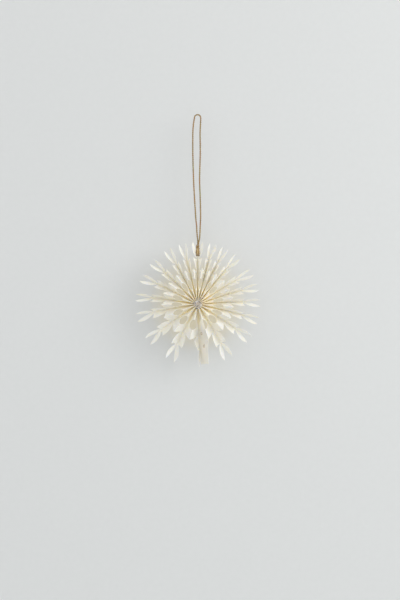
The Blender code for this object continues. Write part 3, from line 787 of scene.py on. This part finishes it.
# %% Material: cotton paper, its surface
felt = add_node(
    tree, "ShaderNodeTexNoise", links={"Vector": on_part},
    values={"Scale": 1 / FELT, "Detail": 4.0, "Roughness": 0.7, "Distortion": 0.6},
)
set_surface(tree, shader, with_hole_and_gap_shade, (felt, 0.82, 0.98), (felt, 0.6, 0.05 * MM), (clouds, 0.5, 0.2 * MM))
shader.inputs["Specular IOR Level"].default_value = 0.25
shader.inputs["Subsurface Weight"].default_value = 1.0
shader.inputs["Subsurface Radius"].default_value = (1.0, 0.9, 0.7)
shader.inputs["Subsurface Scale"].default_value = 0.9 * MM
print("felt", FELT * 1000, "mm, sheet", PAPER_THICKNESS * 1000, "mm thick")

# %% [markdown]
# ## Folding the sheet
#
# The sheet has an inner face, which looks into its ray, and an outer face, 0.3 mm apart. At a fold the paper
# is pressed flat: one corner inside the crease, and a narrow blunt edge outside it. Every panel is set
# between its two folds by the rules above, and the faces share their corners along the folds, so the whole
# snowflake is one closed skin. A solidify modifier would be quicker, but it swells at sharp folds.


# %% Fold the sheet
class FoldedSheet:
    """A mesh whose corners are known by name, so that neighbouring panels share those along their fold."""
    def __init__(self):
        self.mesh = bmesh.new()
        self.lap_shade = self.mesh.faces.layers.float.new(LAP_SHADE_ATTRIBUTE)
        self.known = {}

    def corner(self, key, place):
        if key not in self.known:
            self.known[key] = self.mesh.verts.new(place)
        return self.known[key]

    def crease(self, key, place, first, second, first_side):
        """The corners of a fold at one place: inside the crease, and outside it on either side."""
        bisector, half = (first + second).normalized(), PAPER_THICKNESS / 2
        inside = self.corner((*key, "in"), place + bisector * half / ((first - second).length / 2))
        first_out = self.corner((*key, "out", 0), place - bisector * half + first_side * half)
        second_out = self.corner((*key, "out", 1), place - bisector * half - first_side * half)
        return inside, first_out, second_out

    def back_crease(self, ray, out):
        ways = [across_panel(ray, side, out).normalized() for side in SIDES]
        round_disc = sideways(drooped(STEMS[ray], out))
        return self.crease((BACK, ray, out), stem_point(ray, out), *ways, round_disc)

    def front_crease(self, ray, out):
        place = front_point(ray, out)
        right_way = (stem_point(ray, out) - place).normalized()
        left_way = (stem_point((ray + 1) % RAYS, out) - place).normalized()
        round_disc = sideways(drooped(STEMS[ray] + gap_after(ray) / 2, out))
        return self.crease((FRONT, ray, out), place, left_way, right_way, round_disc)

    def panel_corner(self, ray, side, number, corner, inner):
        out, across, kind = corner
        if kind == BACK:
            return self.back_crease(ray, out)[0 if inner else 1 if side == LEFT_SIDE else 2]
        if kind == FRONT:
            crease = self.front_crease(front_fold(ray, side), out)
            return crease[2 if side == LEFT_SIDE else 1] if inner else crease[0]
        off = PAPER_THICKNESS / 2 if inner else -PAPER_THICKNESS / 2
        return self.corner((ray, side, number, inner), panel_point(ray, side, out, across, off))

    def add_panel(self, ray, side, panel):
        corners, loops, triangles = panel
        faces = {}
        for inner in (True, False):
            faces[inner] = [
                self.panel_corner(ray, side, number, corner, inner) for number, corner in enumerate(corners)
            ]
            for triangle in triangles:
                face = self.mesh.faces.new([faces[inner][number] for number in triangle])
                # Marks the last panel's faces, which are painted greyer as painted shade
                face[self.lap_shade] = float(ray == CLOSING_RAY and side == LEFT_SIDE)
        over, under = faces[True], faces[False]
        for loop in loops:
            for i in range(len(loop)):
                start, end = loop[i - 1], loop[i]
                if {corners[start][2], corners[end][2]} in ({BACK}, {FRONT}):
                    continue
                self.mesh.faces.new([over[start], over[end], under[end], under[start]])

    def add_crease(self, creases):
        for (_, a, b), (_, c, d) in zip(creases, creases[1:]):
            self.mesh.faces.new([a, c, d, b])
        self.mesh.faces.new(creases[0])
        self.mesh.faces.new(creases[-1])


print("at a fold the sheet is", PAPER_THICKNESS * 1000, "mm wide outside")

# %% [markdown]
# Now every ray gets its two panels, and the creases close the skin along its folds. The faces are turned
# outwards. Only edges that turn by more than 32 degrees are drawn sharp: that keeps the folds and the cut
# edges crisp and lets the curled leaves look smooth.

# %% The folded snowflake
SHARP_FROM = radians(32)

sheet = FoldedSheet()
for ray in range(RAYS):
    for side in SIDES:
        closing = ray == CLOSING_RAY and side == LEFT_SIDE
        sheet.add_panel(ray, side, plain_panel if closing else hung_panel if ray == HUNG_RAY else leafy_panel)
    sheet.add_crease([sheet.back_crease(ray, out) for out in BACK_STATIONS])
    for outs in FRONT_STATIONS:
        sheet.add_crease([sheet.front_crease(ray, out) for out in outs])
bmesh.ops.recalc_face_normals(sheet.mesh, faces=sheet.mesh.faces)
if sheet.mesh.calc_volume(signed=True) < 0:
    bmesh.ops.reverse_faces(sheet.mesh, faces=sheet.mesh.faces)
snowflake = add_piece(sheet.mesh, "paper_snowflake", cotton_paper, "paper", "paper_star")
snowflake.data.shade_smooth()
snowflake.data.set_sharp_from_angle(angle=SHARP_FROM)
print("snowflake", [round(size * 1000, 1) for size in snowflake.dimensions], "mm")

# %% [markdown]
# ## The knot and the eye
#
# Below the loop both ends of the twine are tied together in an overhand knot, and a small eye of twine goes
# on through a hole in each leaf of the top ray. A tight knot is hard to model as one true knotted line and
# its inside never shows, so it is built as what can be seen: the ends that run down through it, two turns
# that wrap them at a slant, and the short tail that comes out below and fills the front of the eye.

# %% The knot and the eye
KNOT_RISE = 9.5 * MM
KNOT = Vector((0, TWINE_DEPTH, EYE_HEIGHT + KNOT_RISE))
EYE_HALF_WIDTH, EYE_REACH_FORWARD, EYE_REACH_BEHIND = 1.35 * MM, 4.6 * MM, 1.7 * MM
EYE_BEHIND = [(0.0, 1.0), (0.75, 0.93), (1.4, 0.68), (1.72, 0.4), (1.52, 0.14), (1.0, 0.0)]
EYE_BEFORE = [
    (0.75, 0.76, 0.01), (0.73, 0.91, 0.08), (0.88, 1.0, 0.2), (1.0, 1.05, 0.36), (0.86, 1.0, 0.53),
    (0.69, 0.78, 0.7), (0.67, 0.35, 0.86), (0.67, 0.0, 0.96),
]
TAIL = [(0.0, 0.98), (0.42, 0.84), (0.88, 0.69), (1.08, 0.52), (1.12, 0.36), (1.08, 0.12)]
# The strands in the knot: how far they are from its middle line, and above its centre
STRAND_ACROSS, STRAND_RISES = 0.95 * MM, (1.2 * MM, 3.2 * MM)
# The two turns: height (mm), lean (degrees), reach (mm) and start (degrees)
KNOT_TURNS = [(1.15, 24, 1.45, 200), (-1.05, -22, 1.45, 20)]
TURN_STEPS, TURNS_EACH, TURN_CLIMB = 40, 1.02, 0.5


def mirrored(places):
    return [Vector((-place.x, place.y, place.z)) for place in places]


hole = panel_point(HUNG_RAY, LEFT_SIDE, *twine_hole()[:2])
behind = stem_point(HUNG_RAY, TWINE_HOLE_OUT).y + EYE_REACH_BEHIND
left = [Vector((hole.x * wide, hole.y + (behind - hole.y) * back, hole.z)) for wide, back in EYE_BEHIND]
left += [
    Vector((-EYE_HALF_WIDTH * wide, -EYE_REACH_FORWARD * forward, hole.z + KNOT_RISE * up))
    for wide, forward, up in EYE_BEFORE
]
loop_ends = [Vector((STRAND_ACROSS, TWINE_DEPTH, KNOT.z + rise)) for rise in STRAND_RISES]
eye_line = through(mirrored(loop_ends)[::-1] + left[:0:-1] + mirrored(left) + loop_ends, 5)
tail_route = [Vector((0, -EYE_REACH_FORWARD * forward, hole.z + KNOT_RISE * up)) for forward, up in TAIL]
tail_line = through(tail_route, 5)
mesh = bmesh.new()
lay_twine(mesh, eye_line, phase=1.0)
lay_twine(mesh, tail_line, phase=2.0, frayed=1.0)
for rise, lean, reach, start in KNOT_TURNS:
    turn_line = []
    for step in range(TURN_STEPS + 1):
        turn = radians(start) + tau * TURNS_EACH * step / TURN_STEPS
        flat = Vector((reach * cos(turn), reach * sin(turn), 0)) * MM
        climb = (rise + TURN_CLIMB * (step / TURN_STEPS - 0.5)) * MM + flat.x * sin(radians(lean))
        turn_line.append(KNOT + Vector((flat.x, flat.y, climb)))
    lay_twine(mesh, turn_line, phase=rise)
for name, line in (("eye", eye_line), ("tail", tail_line)):
    print(f"twine in the {name}: {line_length(line) * 1000:.0f} mm")
knot = add_piece(mesh, "twine_knot", jute, "twine", "cord_knot")

# %% [markdown]
# ## Fuzz
#
# Jute is hairy. Loose fibres stand off the twine all along it and soften its outline, which is how the eye
# tells twine from cord of plastic. A hair system would be lost when the model is shared, so each hair is
# a short, thin mesh strand that leaves the ply at a low angle and bends away.

# %% Hairs on the twine
HAIRS, HAIR_RADIUS, HAIR_SIDES, HAIR_SPACING = 420, 0.03 * MM, 3, 0.5 * MM

mesh = bmesh.new()
frames = line_frames(evenly(loop_line, HAIR_SPACING)) + line_frames(evenly(eye_line, HAIR_SPACING))
for _ in range(HAIRS):
    place, along, side, other, _ = vary.choice(frames)
    turn, length = vary.uniform(0, tau), vary.uniform(0.9, 2.4) * MM
    outwards = cos(turn) * side + sin(turn) * other
    way = vary.choice((-1, 1)) * along
    start = place + outwards * TWINE_DIAMETER * 0.4
    bend = other * vary.uniform(-0.3, 0.3) * length
    middle = start + way * length * 0.4 + outwards * length * 0.16
    tip = start + way * length * 0.75 + outwards * length * 0.42 + bend
    sweep(mesh, [start, middle, tip], HAIR_RADIUS, HAIR_SIDES)
fuzz = add_piece(mesh, "twine_fuzz", jute, "twine")

# %% [markdown]
# ## The binding wire
#
# A thin galvanised wire is threaded through a hole in each panel and drawn tight, which gathers the pleats.
# Its ends come forward between two panels, are twisted together and curled flat over the open centre, where
# they show as small bright and dark flecks. It follows the same line as its solid, with rounder sides.

# %% The line of the wire
WIRE_TWIST_PITCH, WIRE_TWIST_GAP, WIRE_STAND_OFF = 3.4 * MM, 0.2 * MM, 1.4 * MM
WIRE_CURL = [(0, 1.0), (12, 0.86), (50, 0.77), (100, 0.74), (150, 0.72), (200, 0.68), (250, 0.61),
             (300, 0.51), (350, 0.39), (405, 0.27)]
RING_DEPTH = PLEAT_DEPTH / 2 - WIRE_ACROSS
RING_STEPS, BEND_STEPS = 80, 6


def wire_end(ray, towards):
    """One end of the wire: out of the ring, forward between two panels, to the front of the pleats."""
    angle, bend, line = STEMS[ray], WIRE_DIAMETER * 1.2, []
    for step in range(BEND_STEPS + 1):
        turn = pi / 2 * step / BEND_STEPS
        place = at(angle, WIRE_RADIUS_OUT, RING_DEPTH - bend * (1 - cos(turn)))
        line.append(place - towards * sideways(angle) * bend * (1 - sin(turn)))
    before_pleats = -PLEAT_DEPTH / 2 - WIRE_DIAMETER
    line.append(at(angle, WIRE_RADIUS_OUT, (RING_DEPTH + before_pleats) / 2))
    line.append(at(angle, WIRE_RADIUS_OUT, before_pleats))
    return line


def wire_twist(phase):
    """One of the two twisted ends, curled over the centre."""
    meeting = STEMS[CLOSING_RAY - 1] + gap_after(CLOSING_RAY - 1) / 2
    depth = -PLEAT_DEPTH / 2 - WIRE_STAND_OFF
    axis = through([at(meeting + radians(on), WIRE_RADIUS_OUT * share, depth) for on, share in WIRE_CURL], 8)
    reach, strand = (WIRE_DIAMETER + WIRE_TWIST_GAP) / 2, []
    for place, along, _, _, gone in line_frames(axis):
        turn = tau * gone / WIRE_TWIST_PITCH + phase
        level = along.cross(TOWARDS_FRONT).normalized()
        strand.append(place + reach * (cos(turn) * level + sin(turn) * along.cross(level)))
    return strand


start, all_round = STEMS[CLOSING_RAY], tau - gap_after(CLOSING_RAY - 1)
margin = WIRE_DIAMETER * 2 / WIRE_RADIUS_OUT
ring = [
    at(start + margin + (all_round - 2 * margin) * step / RING_STEPS, WIRE_RADIUS_OUT, RING_DEPTH)
    for step in range(RING_STEPS + 1)
]
wire_line = wire_twist(pi)[::-1] + wire_end(CLOSING_RAY, -1)[::-1]
wire_line += ring + wire_end(CLOSING_RAY - 1, 1) + wire_twist(0)
print(f"wire: {line_length(wire_line) * 1000:.0f} mm long")

# %% [markdown]
# ## Galvanised wire, the material
#
# Galvanised steel is iron wire dipped in zinc. It is a metal, so its colour is that of its reflection, a
# little lilac-grey. As the zinc sets it forms flat crystals, called spangle, and each of them is brighter or
# darker than the next, and duller or shinier. They are drawn about 1.4 mm across as cells that run from near
# black to near white, far wider than spangle: partly the spangle, and partly painted glints and painted dark
# reflections.

# %% Material: galvanised wire, and the wire itself
SPANGLE = 1.4 * MM

zinc, tree, shader, on_part = new_material("galvanised_steel_wire")
spangle_and_glint_cells = add_node(
    tree, "ShaderNodeTexVoronoi", {"feature": "F1"}, {"Scale": 1 / SPANGLE, "Randomness": 1.0},
    {"Vector": on_part},
)
spangle_and_glint_tone = add_node(
    tree, "ShaderNodeMapRange", values={"From Min": 0.3, "From Max": 0.65},
    links={"Value": spangle_and_glint_cells.outputs["Color"]},
)
# Partly spangle, partly painted glints and painted dark reflections: the cells run from near black to near
# white
spangle_and_painted_glint_colour = add_node(
    tree, "ShaderNodeMix", RGBA, {MIX_A: linear("4E484C"), MIX_B: linear("F8F6F6")},
    {"Factor": spangle_and_glint_tone},
)
set_surface(tree, shader, spangle_and_painted_glint_colour, (spangle_and_glint_tone, 0.22, 0.5), (spangle_and_glint_cells, 0.4, 0.03 * MM))
shader.inputs["Metallic"].default_value = 1.0
mesh = bmesh.new()
sweep(mesh, wire_line, WIRE_DIAMETER / 2, ROUND_SIDES)
add_piece(mesh, "binding_wire_twist", zinc, "wire", "binding_wire")

# %% [markdown]
# ## The wall, the floor and the light
#
# The snowflake hangs close to a pale painted wall, which catches its soft shadow, with a pale floor far
# below. They are the stage and not part of the object. Each is shown only from its front, so that the
# snowflake can be looked at from behind. Behind the paper the wall is painted a warm tone: painted light,
# for the golden light that the paper throws on a pale wall. Behind the open hub it is painted darker:
# painted shadow, for the deepest shade there.

# %% Stage: the wall's paint
WALL_DEPTH = 18 * MM
WARM_REACH, HUB_SHADOW_REACH, PAINT_PATCH = 62 * MM, 9 * MM, 6 * MM

wall_paint, tree, shader, on_part = new_material("matt_wall_paint")
roller = add_node(
    tree, "ShaderNodeTexNoise", values={"Scale": 1 / PAINT_PATCH, "Detail": 3.0},
    links={"Vector": on_part},
)
paint_tone = add_node(
    tree, "ShaderNodeMix", RGBA, {MIX_A: linear("E0E2E2"), MIX_B: linear("E4E6E6")},
    {"Factor": roller},
)
from_paper = add_node(
    tree, "ShaderNodeVectorMath", {"operation": "DISTANCE"}, {1: (0, WALL_DEPTH, CENTRE.z)},
    {0: on_part},
)
near_paper = add_node(
    tree, "ShaderNodeMapRange", SMOOTH,
    {"From Min": WINDOW_END, "From Max": WARM_REACH, "To Min": 1.0, "To Max": 0.0},
    {"Value": from_paper},
)
# Painted light: the wall's paint is warmer behind the paper, for the golden light that the paper throws on it
painted_warm_light_on_wall = add_node(
    tree, "ShaderNodeMix", RGBA, {MIX_B: linear("E3DDC9")},
    {"Factor": near_paper, MIX_A: paint_tone},
)
beyond_hub = add_node(
    tree, "ShaderNodeMapRange", SMOOTH,
    {"From Min": INNER_RADIUS, "From Max": HUB_SHADOW_REACH}, {"Value": from_paper},
)
shaded = add_node(
    tree, "ShaderNodeMix", RGBA, {MIX_A: linear("CCC4BC")},
    {"Factor": beyond_hub, MIX_B: painted_warm_light_on_wall},
)
set_surface(tree, shader, shaded, (roller, 0.78, 0.92), (roller, 0.3, 0.05 * MM))
print("wall", WALL_DEPTH * 1000, "mm behind the twine, warm for", WARM_REACH * 1000, "mm round the centre")

# %% [markdown]
# A real room throws more light behind the snowflake than one lamp and a plain surround do. More light would
# bleach the paper, so the wall is lifted instead: where the eye sees it, straight or in the wire, part
# of its shading gives way to its plain colour, most behind the paper and little elsewhere. The rays that
# light the paper don't see the lift, and the shadow stays.

# %% Stage: the wall's lift, and the planes
SHADOW_LIFT_NEAR, SHADOW_LIFT_FAR = 0.4, 0.12
FLOOR_HEIGHT, STAGE_REACH = -1.3, 3.0

wall_glow = add_node(tree, "ShaderNodeEmission", links={"Color": shaded})
ray_kind = add_node(tree, "ShaderNodeLightPath")
lift = add_node(
    tree, "ShaderNodeMapRange", values={"To Min": SHADOW_LIFT_FAR, "To Max": SHADOW_LIFT_NEAR},
    links={"Value": near_paper},
)
seen_or_mirrored = add_node(
    tree, "ShaderNodeMath", {"operation": "ADD"},
    links={0: ray_kind.outputs["Is Camera Ray"], 1: ray_kind.outputs["Is Glossy Ray"]},
)
seen = add_node(
    tree, "ShaderNodeMath", {"operation": "ADD"},
    links={0: seen_or_mirrored, 1: ray_kind.outputs["Is Transmission Ray"]},
)
seen_lift = add_node(tree, "ShaderNodeMath", {"operation": "MULTIPLY"}, links={0: lift, 1: seen})
lifted = add_node(tree, "ShaderNodeMixShader", links={0: seen_lift, 1: shader, 2: wall_glow})
facing = add_node(tree, "ShaderNodeNewGeometry")
see_through = add_node(tree, "ShaderNodeBsdfTransparent")
one_sided = add_node(
    tree, "ShaderNodeMixShader",
    links={0: facing.outputs["Backfacing"], 1: lifted, 2: see_through},
)
tree.links.new(one_sided.outputs["Shader"], tree.nodes["Material Output"].inputs["Surface"])


def add_stage(name, corners):
    data = bpy.data.meshes.new(name)
    data.from_pydata(corners, [], [range(4)])
    data.materials.append(wall_paint)
    put(name, data)


far = STAGE_REACH
wall = [(-far, FLOOR_HEIGHT), (far, FLOOR_HEIGHT), (far, far), (-far, far)]
floor = [(-far, -2 * far), (far, -2 * far), (far, far), (-far, far)]
add_stage("wall", [(x, WALL_DEPTH, z) for x, z in wall])
add_stage("floor", [(x, y, FLOOR_HEIGHT) for x, y in floor])
print("shading lifted by", SHADOW_LIFT_NEAR, "behind the paper and by", SHADOW_LIFT_FAR, "far from it")

# %% [markdown]
# ## The light
#
# One large soft lamp stands on the right, a little above, and an even, pale surround does the rest. So the
# wall is brighter on the right, and the leaves that face the lamp are white while the others stay readable.
# Light has to bounce far more often than usual between these folds, or they go dark instead of golden, so the
# number of diffuse bounces is raised from 4 to 16.

# %% Light
world = bpy.data.worlds.new("studio")
world.use_nodes = True
background = world.node_tree.nodes["Background"]
background.inputs["Color"].default_value = linear("F8F8F8")
background.inputs["Strength"].default_value = 0.91
scene.world = world

key_data = bpy.data.lights.new("soft_key", "AREA")
key_data.size = 0.9
key_data.energy = 10.5
key_data.color = linear("FFFEFA")[:3]
key = put("soft_key", key_data)
key.location = CENTRE + Vector((1.6, -0.8, 0.6))
key.rotation_euler = (key.location - CENTRE).to_track_quat("Z", "Y").to_euler()
scene.view_settings.view_transform = "Standard"
scene.cycles.diffuse_bounces = 16
scene.cycles.max_bounces = 24
print("key lamp", key_data.energy, "W, surround", background.inputs["Strength"].default_value)
